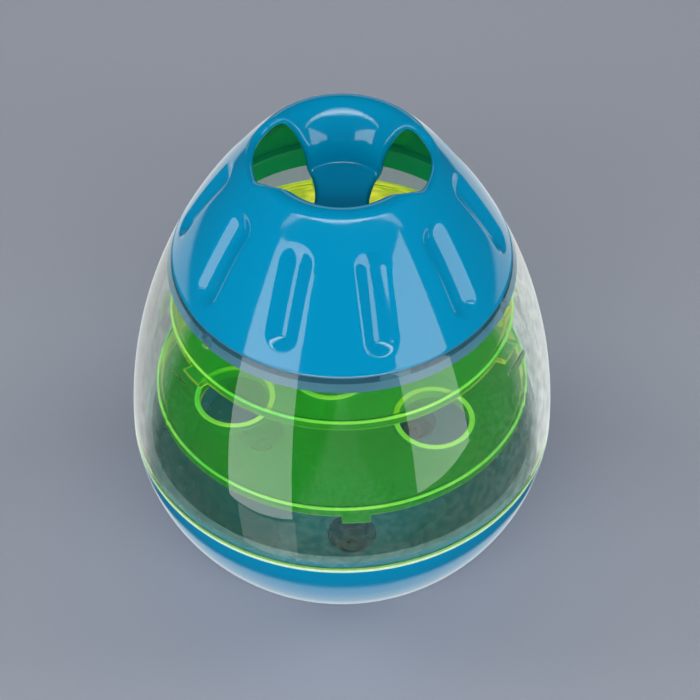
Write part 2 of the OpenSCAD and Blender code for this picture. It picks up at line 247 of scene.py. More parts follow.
def make_piece(name, grids, mats, sharp=40):
    """One closed mesh from grids of (points, material number), each with its last column joined to its
    first. Points that meet are merged, faces are turned outwards, and edges past sharp degrees are left
    unsmoothed."""
    points, faces, numbers, start = [], [], [], 0
    for p, number in grids:
        rows, columns = p.shape[:2]
        index = np.arange(rows * columns).reshape(rows, columns) + start
        a, b = index[:-1], index[1:]
        quads = np.stack([a, b, np.roll(b, -1, 1), np.roll(a, -1, 1)], -1)
        points.append(p.reshape(-1, 3))
        faces.append(quads.reshape(-1, 4))
        numbers.append(np.full(faces[-1].shape[0], number, np.int32))
        start += rows * columns
    points, faces, numbers = (np.concatenate(part) for part in (points, faces, numbers))
    mesh = bpy.data.meshes.new(name)
    mesh.vertices.add(len(points))
    mesh.vertices.foreach_set("co", points.astype(np.float32).ravel())
    mesh.loops.add(faces.size)
    mesh.loops.foreach_set("vertex_index", faces.astype(np.int32).ravel())
    mesh.polygons.add(len(faces))
    mesh.polygons.foreach_set("loop_start", np.arange(0, faces.size, 4, dtype=np.int32))
    mesh.polygons.foreach_set("material_index", numbers)
    mesh.update(calc_edges=True)
    work = bmesh.new()
    work.from_mesh(mesh)
    bmesh.ops.remove_doubles(work, verts=work.verts, dist=0.002 * MM)
    bmesh.ops.dissolve_degenerate(work, edges=work.edges, dist=0.0001 * MM)
    bmesh.ops.recalc_face_normals(work, faces=work.faces)
    work.to_mesh(mesh)
    work.free()
    mesh.polygons.foreach_set("use_smooth", np.ones(len(mesh.polygons), bool))
    mesh.set_sharp_from_angle(angle=math.radians(sharp))
    for mat in mats:
        mesh.materials.append(mat)
    made = bpy.data.objects.new(name, mesh)
    bpy.context.scene.collection.objects.link(made)
    return made


def hook_blocks(disc):
    """The stop, shelf and lip of each hook of a disc, as (angle low, high, z low, high, radius)."""
    degree = math.degrees(1 / disc["r"])
    slack = 2 * TAB_GAP * degree
    face = -TAB_W / 2 * degree - slack
    shelf_end = face + min(TAB_W * degree, DISC_TURN - 2 * slack)
    low, lip = disc["z"] - TAB_GAP - HOOK_WALL, disc["z"] + TAB_H + TAB_GAP
    r = disc["r"] + HOOK_CLEAR
    blocks = []
    for a in threefold(disc["azimuth"] - TAB_LAG):
        blocks.append((a + face - HOOK_WALL * degree, a + face, low, lip + HOOK_WALL, r))
        blocks.append((a + face, a + shelf_end, low, low + HOOK_WALL, r))
        blocks.append((a + face, a + face + HOOK_LIP_W * degree, lip, lip + HOOK_WALL, r))
    return blocks


def stop_blocks():
    """The end stops of the cap's lugs, in the same form as the hooks' blocks."""
    slack, width = math.degrees(2 * GAP / LUG_R), math.degrees(STOP_W / LUG_R)
    ends = threefold(SLOT_AZIMUTH - UNLOCK_TURN - LUG_ANGLE / 2 - slack)
    return [(a - width, a, LUG_LOW, FLANGE_Z, NECK_BORE + GAP) for a in ends]


def shell_points():
    """The shell's wall as five bands of rows: up the flank's arc, over the neck's face and down to the
    end of its shaded strip, down the rest of the inner wall, and the foot's inner and outer part. The
    inner wall is the flank's arc moved in, brought in to its radius at each block with smooth steps, and
    to the bore at the neck, and let out again at the entry slots."""
    blocks = hook_blocks(UPPER) + hook_blocks(LOWER) + stop_blocks()
    slots = [(a - SLOT_ANGLE / 2, a + SLOT_ANGLE / 2) for a in threefold(SLOT_AZIMUTH)]
    soft_turn = math.degrees(BLOCK_SOFT / UPPER["r"])
    edges = np.unique(np.round([x % 360 for pair in slots + blocks for x in pair[:2]], 3))
    column_step, row_step, across = 1, 1.1 * MM, 5
    angles = ruled(edges, 0, 360 - column_step, column_step, soft_turn, across)
    heights = np.unique(np.round([z for b in blocks for z in b[2:4]], 5))
    z_in = ruled(heights, SEAM_Z + GAP, NECK_Z - GAP, row_step, BLOCK_SOFT, across)
    flange_rows = [FLANGE_Z - GAP / 9, FLANGE_Z + GAP / 9]
    z_in = np.append(z_in[np.abs(z_in - FLANGE_Z) > BLOCK_SOFT / 5], flange_rows)
    z, a = np.meshgrid(np.sort(z_in)[::-1], angles, indexing="ij")
    wall = flank_r(z, SHELL_WALL)
    inner = wall
    for low, high, z_low, z_high, r in blocks:
        middle = (low + high) / 2
        off = (a - middle + 180) % 360 - 180
        share = eased(off, low - middle, high - middle, soft_turn) * eased(z, z_low, z_high, BLOCK_SOFT)
        inner = np.minimum(inner, wall + (r - wall) * share)
    inner = np.where(z > FLANGE_Z, NECK_BORE, inner)
    for low, high in slots:
        inner = np.where((z > FLANGE_Z) & ((a - low) % 360 <= high - low), LUG_R + GAP, inner)
    z_out = np.linspace(SEAM_Z + GAP, NECK_Z - GAP, 72)[:, None]
    top = [flank_r(NECK_Z) - GAP * 0.7 + 0 * inner[:1], inner[:1] + GAP]
    rows = [turned(flank_r(z_out), z_out, angles[None])]
    rows += [turned(r, NECK_Z, angles[None]) for r in top]
    rows += [turned(inner, z, a)]
    outer = float(flank_r(SEAM_Z))
    # The foot stays a hair above the seam, so that it doesn't share a plane with the bowl's top.
    foot_r = np.array([[outer - SHELL_WALL + GAP], [outer - FOOT_PAINTED_HIGHLIGHT_W], [outer - GAP / 2], [outer]])
    foot_z = SEAM_Z + GAP * np.array([[0.2], [0.2], [0.2], [0.5]])
    foot = np.concatenate([rows[-1][-1:], turned(foot_r, foot_z, angles[None]), rows[0][:1]])
    rows = np.concatenate(rows)
    top, low = len(z_out) - 1, len(z_out) + 2 + int(np.sum(z_in > NECK_SHADE_Z))
    return rows[: top + 1], rows[top : low + 1], rows[low:], foot[:3], foot[2:]


def let_lamps_through(tree, surface, tint):
    """Lamp rays pass the surface straight with that tint, so what is behind it stays lit."""
    path = tree.nodes.new("ShaderNodeLightPath")
    clear = add_node(tree, "ShaderNodeBsdfTransparent", Color=(*tint, 1))
    mix = tree.nodes.new("ShaderNodeMixShader")
    tree.links.new(path.outputs["Is Shadow Ray"], mix.inputs[0])
    tree.links.new(surface, mix.inputs[1])
    tree.links.new(clear.outputs[0], mix.inputs[2])
    tree.links.new(mix.outputs[0], tree.nodes["Material Output"].inputs["Surface"])


def clear_plastic():
    """Clear plastic: a faint cool tint, and a polish that is slightly hazed by handling."""
    mat, shader, tree = new_material("clear_polished")
    shader.inputs["Base Color"].default_value = (*CLEAR_TINT, 1)
    shader.inputs["Transmission Weight"].default_value = 1.0
    shader.inputs["IOR"].default_value = CLEAR_IOR
    uneven_gloss(tree, shader, CLEAR_HAZE_WAVES, (0.4, 0.75), (0.0, 0.04))
    add_bump(tree, object_noise(tree, CLEAR_SKIN_WAVES, 1.0), CLEAR_SKIN_DEPTH, shader)
    let_lamps_through(tree, shader.outputs[0], CLEAR_SHADOW)
    return mat


def foot_painted_glow_plastic(name, colour):
    """The foot of the clear shell, made opaque and glowing though it is no lamp, as painted light."""
    mat, shader, tree = new_material(name)
    shader.inputs["Base Color"].default_value = (*colour, 1)
    shader.inputs["Emission Color"].default_value = (*colour, 1)
    shader.inputs["Emission Strength"].default_value = FOOT_PAINTED_GLOW
    uneven_gloss(tree, shader, FOOT_WAVES, (0.3, 0.7), (0.2, 0.4))
    return mat


# The foot's two materials glow on their own: a painted highlight and a painted lime glow.
shell_mats = [
    clear_plastic(),
    foot_painted_glow_plastic("clear_foot_painted_highlight", FOOT_PAINTED_HIGHLIGHT),
    glossy_plastic("clear_neck_shade", NECK_SHADE, 0.3),
    foot_painted_glow_plastic("lime_foot_painted_glow", FOOT_PAINTED_LIME_GLOW),
]
shell_bands = zip(shell_points(), (0, 2, 0, 3, 1))
clear_shell = make_piece("clear_shell_wall", shell_bands, shell_mats)
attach(clear_shell, "shell")
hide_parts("clear_shell")

# Discs. Two lime see-through plates, each moulded in one with an upright rim, three holes in raised
# collars and three edge tabs, which turn into the shell's hooks.
PLATE_H, DISC_RIM_H, DISC_RIM_W = 1.8 * MM, 3.3 * MM, 1.6 * MM
HOLE_R, COLLAR_W = 10.4 * MM, 2 * MM
FILLET = 0.5 * MM
TAB_EDGE = 0.06 * MM
# The dye tints what passes by DYE_TINT, and lamp light by DYE_SHADOW. The plates are thin, so they shift
# what is behind them less than a solid block would.
DYE_TINT, DYE_SHADOW, PAINTED_GLOW_WAVES = (1.0, 0.93, 0.26), (0.55, 0.8, 0.35), 28
LIME_HAZE_WAVES, LIME_SKIN_WAVES, THIN_PLATE_IOR = 90, 120, 1.15


def rounded_line(corners, steps=5):
    """A line through (x, y, radius) corners, each corner with a radius rounded to an arc that touches
    both sides, by turning the arc's first spoke into its last."""
    out = []
    for k, (x, y, radius) in enumerate(corners):
        here = np.array([x, y])
        if radius == 0:
            out.append(here[None])
            continue
        back, on = (np.array(corners[k + d][:2]) - here for d in (-1, 1))
        back, on = back / np.linalg.norm(back), on / np.linalg.norm(on)
        half = math.acos(np.clip(back @ on, -1, 1)) / 2
        centre = here + (back + on) / np.linalg.norm(back + on) * radius / math.sin(half)
        first, last = (here + side * radius / math.tan(half) - centre for side in (back, on))
        sweep = math.pi - 2 * half
        t = np.linspace(0, 1, steps)[:, None]
        out.append(centre + (np.sin((1 - t) * sweep) * first + np.sin(t * sweep) * last) / math.sin(sweep))
    return np.concatenate(out)


def tab_half(disc):
    """Half the width of a disc's tab, as an angle in degrees."""
    return math.degrees(math.asin(TAB_W / 2 / disc["r"]))


def disc_arc(disc):
    """Angles across one third of a disc, with lines close round both sides of its tab."""
    half = tab_half(disc)
    return ruled([-TAB_LAG - half, -TAB_LAG + half], -60, 60, 1.8, 0.06)


def disc_third(disc):
    """The plate of one third of a disc round one hole: underside, collar and top. Each column keeps its
    direction from the hole's centre: it follows the collar's section, then runs straight out to the
    third's outline, which is two spokes and the foot of the rim."""
    z, ring = disc["z"], disc["r"] - disc["inset"]
    outer = disc["r"] - DISC_RIM_W - FILLET
    near, far = HOLE_R, HOLE_R + COLLAR_W
    collar = rounded_line(
        [
            (far + 1.5 * FILLET, z, 0),
            (near, z, 0.3 * MM),
            (near, z + DISC_RIM_H, 0.7 * MM),
            (far, z + DISC_RIM_H, 0.7 * MM),
            (far, z + PLATE_H, FILLET * 0.9),
            (far + 1.5 * FILLET, z + PLATE_H, 0),
        ]
    )
    arc = np.radians(disc_arc(disc))[:, None]
    spoke = np.linspace(0, 1, 30)[:-1, None]
    corner = outer * np.array([[math.cos(math.pi / 3), -math.sin(math.pi / 3)]])
    round_arc = outer * np.concatenate([np.cos(arc), np.sin(arc)], 1)
    outline = np.concatenate([spoke * corner, round_arc[:-1], (1 - spoke) * corner * [[1, -1]]])
    toward = outline - [[ring, 0]]
    toward /= np.linalg.norm(toward, axis=1, keepdims=True)
    rings = collar[:, None, :1] * toward + [[[ring, 0]]]
    t = np.linspace(0, 1, 13)[1:, None, None]
    plate = rings[-1] * (1 - t) + outline * t
    flat = np.ones((len(t), len(outline), 1))
    rise = np.repeat(collar[:, None, 1:], len(outline), 1)
    under = np.concatenate([plate[::-1], flat * z], -1)
    over = np.concatenate([plate, flat * (z + PLATE_H)], -1)
    return under, np.concatenate([rings, rise], -1), over


def disc_rim(disc):
    """The rim all round, from the plate's underside over its top to the plate. Within each tab the
    rows of the outer face below the tab's top stand further out. It comes as five bands of rows, in
    which both outer corners are bands of their own."""
    z, r = disc["z"], disc["r"]
    outer, inner, foot = r, r - DISC_RIM_W, r - DISC_RIM_W - FILLET
    wall = rounded_line(
        [
            (foot, z, 0),
            (outer, z, 0.4 * MM),
            (outer, z + TAB_H - TAB_EDGE, 0),
            (outer, z + TAB_H + TAB_EDGE, 0),
            (outer, z + DISC_RIM_H, 0.6 * MM),
            (inner, z + DISC_RIM_H, 0.6 * MM),
            (inner, z + PLATE_H, FILLET * 0.9),
            (foot, z + PLATE_H, 0),
        ]
    )
    across = disc_arc(disc)[:-1]
    in_tab = np.abs(across + TAB_LAG) < tab_half(disc)
    angles = np.concatenate([hole + across for hole in threefold(disc["azimuth"])])
    low_rows = (wall[:, 0] > inner) & (wall[:, 1] < z + TAB_H)
    reach = TAB_REACH * low_rows[:, None] * np.tile(in_tab, 3)
    rows = turned(wall[:, :1] + reach, wall[:, 1:], angles[None])
    return [rows[low:high] for low, high in ((0, 2), (1, 6), (5, 9), (8, 13), (12, len(rows)))]


def turn_matrix(angle):
    """The matrix that turns points about Z by an angle in degrees, as points @ matrix."""
    a = math.radians(angle)
    return np.array([[math.cos(a), math.sin(a), 0], [-math.sin(a), math.cos(a), 0], [0, 0, 1]])


def make_disc(name, disc, mats):
    """The whole disc: three thirds of plate with their collars, and the rim. The rows over a collar's
    top, from corner to corner, get the edge material, a painted highlight, as the rim's outer corners do."""
    grids = []
    for hole in threefold(disc["azimuth"]):
        under, collar, over = (part @ turn_matrix(hole) for part in disc_third(disc))
        low, high = np.concatenate([under, collar[:9]]), np.concatenate([collar[13:], over])
        grids += [(low, 0), (collar[8:14], 1), (high, 0)]
    grids += [(band, k % 2) for k, band in enumerate(disc_rim(disc))]
    made = make_piece(name + "_moulding", grids, mats)
    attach(made, name)
    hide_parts(name)


def lime_plastic(name, scatter, clearness, glow, glow_too):
    """See-through lime plastic: part of the light is scattered back green, most goes through with a
    yellow tint, and it has a painted glow, mixed from green to yellow by a noise, which is strongest
    on the edge material, as a painted highlight where light would gather at the edges."""
    mat, shader, tree = new_material(name)
    shader.inputs["Base Color"].default_value = (*scatter, 1)
    shader.inputs["IOR"].default_value = CLEAR_IOR
    painted_glow_mix = ranged(tree, object_noise(tree, PAINTED_GLOW_WAVES, 0.0), 0.42, 0.62, 0.0, 1.0)
    mixed_colour(tree, painted_glow_mix, glow, glow_too, shader.inputs["Emission Color"])
    shader.inputs["Emission Strength"].default_value = 1.0
    uneven_gloss(tree, shader, LIME_HAZE_WAVES, (0.35, 0.7), (0.05, 0.14))
    add_bump(tree, object_noise(tree, LIME_SKIN_WAVES, 1.0), PEEL_DEPTH, shader)
    passed = add_node(tree, "ShaderNodeBsdfRefraction", Roughness=0.02, IOR=THIN_PLATE_IOR)
    passed.inputs["Color"].default_value = (*DYE_TINT, 1)
    mix = add_node(tree, "ShaderNodeMixShader", Fac=clearness)
    tree.links.new(shader.outputs[0], mix.inputs[1])
    tree.links.new(passed.outputs[0], mix.inputs[2])
    let_lamps_through(tree, mix.outputs[0], DYE_SHADOW)
    return mat


# Each material's last two colours are its painted glow, strong on the edge material as a painted
# highlight.
lime = [
    lime_plastic("lime_plate", (0.0, 0.34, 0.02), 0.84, (0.0, 0.17, 0.012), (0.0, 0.26, 0.02)),
    lime_plastic("lime_edge_painted_highlight", (0.1, 0.45, 0.02), 0.45, (0.03, 0.5, 0.03), (0.36, 0.68, 0.06)),
]
make_disc("lower_disc", LOWER, lime)
make_disc("upper_disc", UPPER, lime)

# Top cap. Moulded in one in glossy blue plastic: a rolled rim round a dish, a bridge left between two
# side openings, ten finger grooves, and a skirt with three bayonet lugs that turns in the neck.
CAP_WALL = 2.8 * MM
CAP_TURN = -4
# The inside of the blue cap is painted green, as painted light that the lime discs cast on it.
# The skirt and lugs are painted darker than the cap, as painted shade where they sit in the neck.
SKIRT_PAINTED_SHADE, INSIDE_PAINTED_LIME_LIGHT = (0.035, 0.15, 0.21), (0.015, 0.46, 0.24)
# Radii of the three arcs of the dish's wall, and the angles of the normal where the corner, these arcs
# and the rim's roll meet.
SHOULDERS, SHOULDER_TURNS = (14 * MM, 45 * MM, 14 * MM), (174, 153, 142, 130)
DISH_R, CORNER_R = 40 * MM, 1.5 * MM
ROLL_BAND = 4.2 * MM
BRIDGE_W = 15.3 * MM
# The grooves: their pitch in degrees, how far up the skin from the neck their low end turns, their length
# and how round their bottom is, and then their depth and slope, outside and inside.
GROOVE_PITCH, GROOVE_UP, GROOVE_L, GROOVE_ROUND = 36, 9.97 * MM, 21.4 * MM, 2.3 * MM
GROOVE_OUTSIDE, GROOVE_INSIDE = (2.2 * MM, 0.7), (1.1 * MM, 0.35)
SEAT_H, SEAT_W, SKIRT_WALL = 1.7 * MM, 3.9 * MM, 2.4 * MM
LUG_ROUND, LUG_SQUARENESS = 0.4 * MM, 0.35
RIM_TURN = math.degrees(math.atan2(RIM_Z - SEAM_Z, RIM_R - SEAM_R + FLANK_ARC))
NECK_TURN = math.degrees(math.asin((NECK_Z - SEAM_Z) / FLANK_ARC))


def facing(turn):
    """Unit vector in the profile's plane, at so many degrees from the outward direction."""
    return np.array([math.cos(math.radians(turn)), math.sin(math.radians(turn))])


def cap_profile():
    """The skin's arcs, from the dish's bottom outwards, as (centre, signed radius, distance along the
    skin at the end, normal's angle at the end). Each arc's centre lies on the normal where it meets the
    one before, so they touch: dish, its corner, three arcs of its wall, rolled rim, flank."""
    centre, radius = np.array([RIM_R, RIM_Z]), RIM_ROLL
    arcs = [(centre, radius, RIM_TURN), (np.array([SEAM_R - FLANK_ARC, SEAM_Z]), FLANK_ARC, NECK_TURN)]
    for wider, turn in zip(SHOULDERS[::-1], SHOULDER_TURNS[::-1]):
        centre, radius = centre + (radius - wider) * facing(turn), wider
        arcs.insert(0, (centre, radius, turn))
    corner = centre + (radius + CORNER_R) * facing(SHOULDER_TURNS[0])
    dish_turn = 90 + math.degrees(math.asin(corner[0] / (DISH_R - CORNER_R)))
    dish = corner + (DISH_R - CORNER_R) * facing(dish_turn)
    arcs = [(dish, -DISH_R, dish_turn), (corner, -CORNER_R, SHOULDER_TURNS[0])] + arcs
    out, s, turn = [], 0, 90
    for centre, radius, end in arcs:
        s += abs(radius) * math.radians(abs(end - turn))
        out.append((*centre, radius, s, end))
        turn = end
    return np.array(out)


PROFILE = cap_profile()
S_ROLL, S_NECK = PROFILE[-2:, 3]
S_BAND = S_ROLL + ROLL_BAND


def cap_skin(s, angle, inset=0.0):
    """Points, outward normals and the normals' slopes of the cap's skin, at the distance s along it from
    the dish's bottom and in a direction. Along each arc the normal turns evenly with s, and a point is
    the arc's centre plus its radius times the normal."""
    w = np.radians(np.interp(s, [0, *PROFILE[:, 3]], [90, *PROFILE[:, 4]]))
    cx, cz, arc = (PROFILE[np.searchsorted(PROFILE[:-1, 3], s, "right"), k] for k in range(3))
    r, z = cx + (arc - inset) * np.cos(w), cz + (arc - inset) * np.sin(w)
    return turned(r, z, angle), turned(np.cos(w), np.sin(w), angle), w


def arc_points(x, y, r, first, last, count=160):
    """Points on an arc round (x, y), from one direction to another in radians."""
    a = np.linspace(first, last, count, endpoint=False)
    return np.stack([x + r * np.cos(a), y + r * np.sin(a)], -1)


def opening_edge(setback):
    """The edge of the opening at +X as distances along the skin and angles, set back into the skin. In
    plan it is a lens between the outer arc and the bridge's arc, with round corners that touch both,
    the rear one wider. A corner's centre is as far from both arcs' centres as their radii less its own."""
    outer, bridge, rear, front = 27 * MM, 22 * MM, 9.3 * MM, 8.3 * MM
    bridge_x = BRIDGE_W / 2 + bridge
    places = []
    for corner in (rear, front):
        x = ((outer - corner) ** 2 - (bridge - corner) ** 2 + bridge_x**2) / (2 * bridge_x)
        y = math.sqrt((outer - corner) ** 2 - x**2)
        places.append((x, y, math.atan2(y, x), math.atan2(y, x - bridge_x)))
    (x, y, a, b), (x_front, y_front, a_front, b_front) = places
    whole = 2 * math.pi
    plan = np.concatenate(
        [
            arc_points(0, 0, outer, -a_front, a),
            arc_points(x, y, rear, a, b),
            arc_points(bridge_x, 0, bridge, b, whole - b_front),
            arc_points(x_front, -y_front, front, whole - b_front, whole - a_front),
        ]
    )
    along = np.linspace(0, S_NECK, 6000)
    skin = cap_skin(along, 0)[0][:, 0]
    r = np.hypot(plan[:, 0], plan[:, 1])
    s, angle = np.interp(r, skin, along), np.arctan2(plan[:, 1], plan[:, 0])
    ds = (np.roll(s, -1) - np.roll(s, 1)) / 2
    dt = (np.roll(angle, -1) - np.roll(angle, 1)) / 2 * r
    size = np.hypot(ds, dt)
    out_s, out_t = dt / size, -ds / size
    return s + setback * out_s, angle + setback * out_t / r, out_s, out_t


def groove_angles():
    """Angles over half a turn from -90 to 90 degrees, closer together across each groove's shoulders,
    which lie near to far from its middle."""
    near, far = 5.3, 9
    spans = [(0, near, 7), (near, far, 11), (far, GROOVE_PITCH / 2, 9)]
    half = np.unique(np.concatenate([np.linspace(*span) for span in spans]))
    pitch = np.concatenate([-half[:0:-1], half[:-1]])
    return np.append(np.concatenate([GROOVE_PITCH * k + pitch for k in range(-2, 3)]), 90.0)


def groove_depth(s, angle, depth, slope):
    """Depth of the grooves at a place on the skin. Across, a groove is a V whose bottom is rounded as a
    hyperbola is, about the groove's middle line and its two ends. A second hyperbola eases its shoulders
    into the skin, and what it leaves further off is cut to nothing."""
    low = S_NECK - GROOVE_UP
    high = low - GROOVE_L
    r = np.linalg.norm(cap_skin(s, 0)[0][..., :2], axis=-1)
    off = np.radians((angle - 90) % GROOVE_PITCH - GROOVE_PITCH / 2) * r
    past_end = np.maximum(0, np.maximum(high - s, s - low))
    x = depth - slope * (np.sqrt(off**2 + past_end**2 + GROOVE_ROUND**2) - GROOVE_ROUND)
    ease, left_over = 0.25 * MM, 0.01 * MM
    return np.maximum(0, (x + np.sqrt(x**2 + ease**2)) / 2 - left_over)


def opening_half():
    """The skin round the opening at +X, from the lip out to the band of the flank and to the middle of
    the bridge, outside, lip and inside. In the skin laid flat, each column runs straight from the edge
    to a point of the border, on the line from a middle point of the opening to that point."""
    lip = CAP_WALL / 2
    s, t, out_s, out_t = opening_edge(lip)
    arc = np.radians(groove_angles())
    line = np.linspace(1, -1, 131)[1:-1] * S_BAND
    border = np.concatenate(
        [S_BAND * np.stack([np.cos(arc), np.sin(arc)], -1), np.stack([0 * line, line], -1)]
    )
    middle_x = 23.5 * MM
    edge = np.stack([s * np.cos(t), s * np.sin(t)], -1)
    seen = np.arctan2(edge[:, 1], edge[:, 0] - middle_x)
    order = np.argsort(seen)
    want = np.arctan2(border[:, 1], border[:, 0] - middle_x)
    values = [
        np.interp(want, seen[order], v[order], period=2 * math.pi)
        for v in (edge[:, 0], edge[:, 1], out_s, out_t)
    ]
    edge, out_s, out_t = np.stack(values[:2], -1), values[2], values[3]
    u = np.linspace(0, 1, 28)[:, None, None]
    flat = edge * (1 - u) + border * u
    s, angle = np.hypot(flat[..., 0], flat[..., 1]), np.degrees(np.arctan2(flat[..., 1], flat[..., 0]))
    outside, normal, w = cap_skin(s, angle)
    inside = cap_skin(s[::3], angle[::3], CAP_WALL)[0]
    a = np.radians(angle[0])
    along = turned(np.sin(w[0]), -np.cos(w[0]), angle[0])
    round_it = np.stack([-np.sin(a), np.cos(a), 0 * a], -1)
    inward = -(out_s[:, None] * along + out_t[:, None] * round_it)
    roll = np.linspace(0, math.pi, 13)[1:-1, None, None]
    bead = outside[0] - lip * normal[0] + lip * (np.cos(roll) * normal[0] + np.sin(roll) * inward)
    return np.concatenate([outside[::-1], bead]), np.concatenate([bead[-1:], inside])


def cap_ring():
    """The flank with its grooves, the lower edge and seat, the skirt, and the inside up to the band, as
    three bands of rows: what is seen from outside, the skirt, and the inside."""
    half = groove_angles()[:-1]
    angle = np.concatenate([half, half + 180])[None]
    s_out = np.linspace(S_BAND, S_NECK - 0.5 * MM, 70)[:, None]
    outside, normal, _ = cap_skin(s_out, angle)
    outside = outside - normal * groove_depth(s_out, angle, *GROOVE_OUTSIDE)[..., None]
    seat_top = NECK_Z + SEAT_H
    seat_turn = math.asin((seat_top - SEAM_Z) / (FLANK_ARC - CAP_WALL))
    s_seat = S_ROLL + FLANK_ARC * (math.radians(RIM_TURN) - seat_turn)
    s_in = np.linspace(s_seat, S_BAND, 26)[:, None]
    inside, normal, _ = cap_skin(s_in, angle, CAP_WALL)
    inside = inside - normal * groove_depth(s_in, angle, *GROOVE_INSIDE)[..., None]
    edge_r = float(flank_r(NECK_Z))
    skirt_r, bore_r = NECK_BORE - GAP, NECK_BORE - GAP - SKIRT_WALL
    shape = rounded_line(
        [
            (edge_r + 0.2 * MM, NECK_Z + 0.45 * MM, 0),
            (edge_r, NECK_Z, 0.3 * MM),
            (skirt_r, NECK_Z, 0.1 * MM),
            (skirt_r, LUG_LOW, 0.5 * MM),
            (bore_r, LUG_LOW, 0.5 * MM),
            (bore_r, seat_top, 0.4 * MM),
            (edge_r - SEAT_W, seat_top, 0),
        ]
    )[1:-1]
    shape = turned(shape[:, :1], shape[:, 1:], angle)
    return np.concatenate([outside, shape[:6]]), shape[5:16], np.concatenate([shape[15:], inside])


def cap_lug(angle):
    """One bayonet lug: a bar along the skirt, whose section is a squarish superellipse. It is set in
    along a quarter circle at both ends, and closes there to a point."""
    easing = np.radians(np.linspace(0, 90, 5))
    inset = LUG_ROUND * (1 - np.sin(easing))
    ends = LUG_ROUND * (1 - np.cos(easing)) / LUG_R
    half = math.radians(LUG_ANGLE / 2)
    along = np.linspace(-half, half, 9)[1:-1]
    turn = np.concatenate([[-half], -half + ends, along, half - ends[::-1], [half]])
    inset = np.concatenate([inset, 0 * along, inset[::-1]])
    loop = np.radians(np.arange(0, 360, 15))
    wide, high = (LUG_R - NECK_BORE) / 2 + SKIRT_WALL / 2, (LUG_HIGH - LUG_LOW) / 2
    middle = LUG_R - wide, (LUG_HIGH + LUG_LOW) / 2
    lug = []
    for centre, size, wave in zip(middle, (wide, high), (np.cos(loop), np.sin(loop))):
        section = centre + (size - inset[:, None]) * np.sign(wave) * np.abs(wave) ** LUG_SQUARENESS
        point = np.full((1, len(loop)), centre)
        lug.append(np.concatenate([point, section, point]))
    return turned(*lug, angle + np.degrees(turn)[:, None])


cap_grids = []
for k, band in enumerate(opening_half()):
    cap_grids += [(band, 2 * k), (band * [-1, 1, 1], 2 * k)]
cap_grids += [(band, k) for k, band in enumerate(cap_ring())]
cap_grids = [(band @ turn_matrix(CAP_TURN), number) for band, number in cap_grids]
cap_grids += [(cap_lug(angle), 1) for angle in threefold(SLOT_AZIMUTH - UNLOCK_TURN)]
cap_mats = [
    glossy_plastic("cap_blue_gloss", CAP_BLUE, 0.05),
    glossy_plastic("cap_skirt_painted_shade", SKIRT_PAINTED_SHADE, 0.2),
    glossy_plastic("cap_inside_painted_lime_light", INSIDE_PAINTED_LIME_LIGHT, 0.12),
]
top_cap = make_piece("top_cap_skin", cap_grids, cap_mats, sharp=60)
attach(top_cap, "cap")
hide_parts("top_cap")

# Floor, camera and lamps. A plain pale floor, a tall soft box on each side in front, three flat ovals over
# the front that taper to both ends together, a dim wide box behind, and a fill on each side.
FLOOR_GREY, FLOOR_HALF = (0.37, 0.392, 0.455), 6
TABLE_WHITE, THROUGH_GREY, STREAK_WAVES = (0.95, 1.0, 1.0, 1), (0.93, 1.0, 0.97, 1), 110


def maths(tree, operation, *values):
    """One step of arithmetic on node outputs and plain numbers."""
    made = tree.nodes.new("ShaderNodeMath")
    made.operation = operation
    for k, value in enumerate(values):
        if isinstance(value, (int, float)):
            made.inputs[k].default_value = value
        else:
            tree.links.new(value, made.inputs[k])
    return made.outputs[0]


def mixed(tree, factor, first, second):
    """A mix of two shaders."""
    made = tree.nodes.new("ShaderNodeMixShader")
    for k, source in enumerate((factor, first, second)):
        tree.links.new(source, made.inputs[k])
    return made.outputs[0]


mat, shader, tree = new_material("pale_floor")
shader.inputs["Base Color"].default_value = (*FLOOR_GREY, 1)
shader.inputs["Roughness"].default_value = 0.6
shader.inputs["Specular IOR Level"].default_value = 0.1
path = tree.nodes.new("ShaderNodeLightPath")
clear = tree.nodes.new("ShaderNodeBsdfTransparent")
x, y, _ = object_place(tree)
far = maths(tree, "SQRT", maths(tree, "ADD", maths(tree, "MULTIPLY", x, x), maths(tree, "MULTIPLY", y, y)))

# Reflections see a white table under and behind the toy. Elsewhere they look through the floor, at the
# lower part of the soft boxes.
under = ranged(tree, far, 0.069, 0.074, 1.0, 0.0)
past_middle = ranged(tree, y, 0.0, 0.03, 0.0, 1.0)
on_table = ranged(tree, far, 0.43, 0.5, 1.0, 0.0)
table = maths(tree, "MAXIMUM", maths(tree, "MULTIPLY", past_middle, on_table), under)
white = add_node(tree, "ShaderNodeEmission", Color=TABLE_WHITE, Strength=0.9)
reflected = mixed(tree, table, clear.outputs[0], white.outputs[0])

# The clear plastic shows streaked pale grey, dimmer to both sides, and the plain floor in a patch that
# lies behind the neck.
past_neck = ranged(tree, y, 0.158, 0.162, 0.0, 1.0)
neck_width = ranged(tree, maths(tree, "ABSOLUTE", x), 0.05, 0.07, 1.0, 0.0)
patch = maths(tree, "MULTIPLY", past_neck, neck_width)
left_dim = ranged(tree, x, -0.07, -0.045, 0.3, 1.0)
right_dim = ranged(tree, x, 0.045, 0.07, 1.0, 0.62)
streaks = ranged(tree, object_noise(tree, STREAK_WAVES, 2.0), 0.4, 0.62, 1.2, 0.6)
level = maths(tree, "MULTIPLY", maths(tree, "MULTIPLY", left_dim, right_dim), streaks)
grey = add_node(tree, "ShaderNodeEmission", Color=THROUGH_GREY)
tree.links.new(level, grey.inputs["Strength"])
through = mixed(tree, patch, grey.outputs[0], shader.outputs[0])

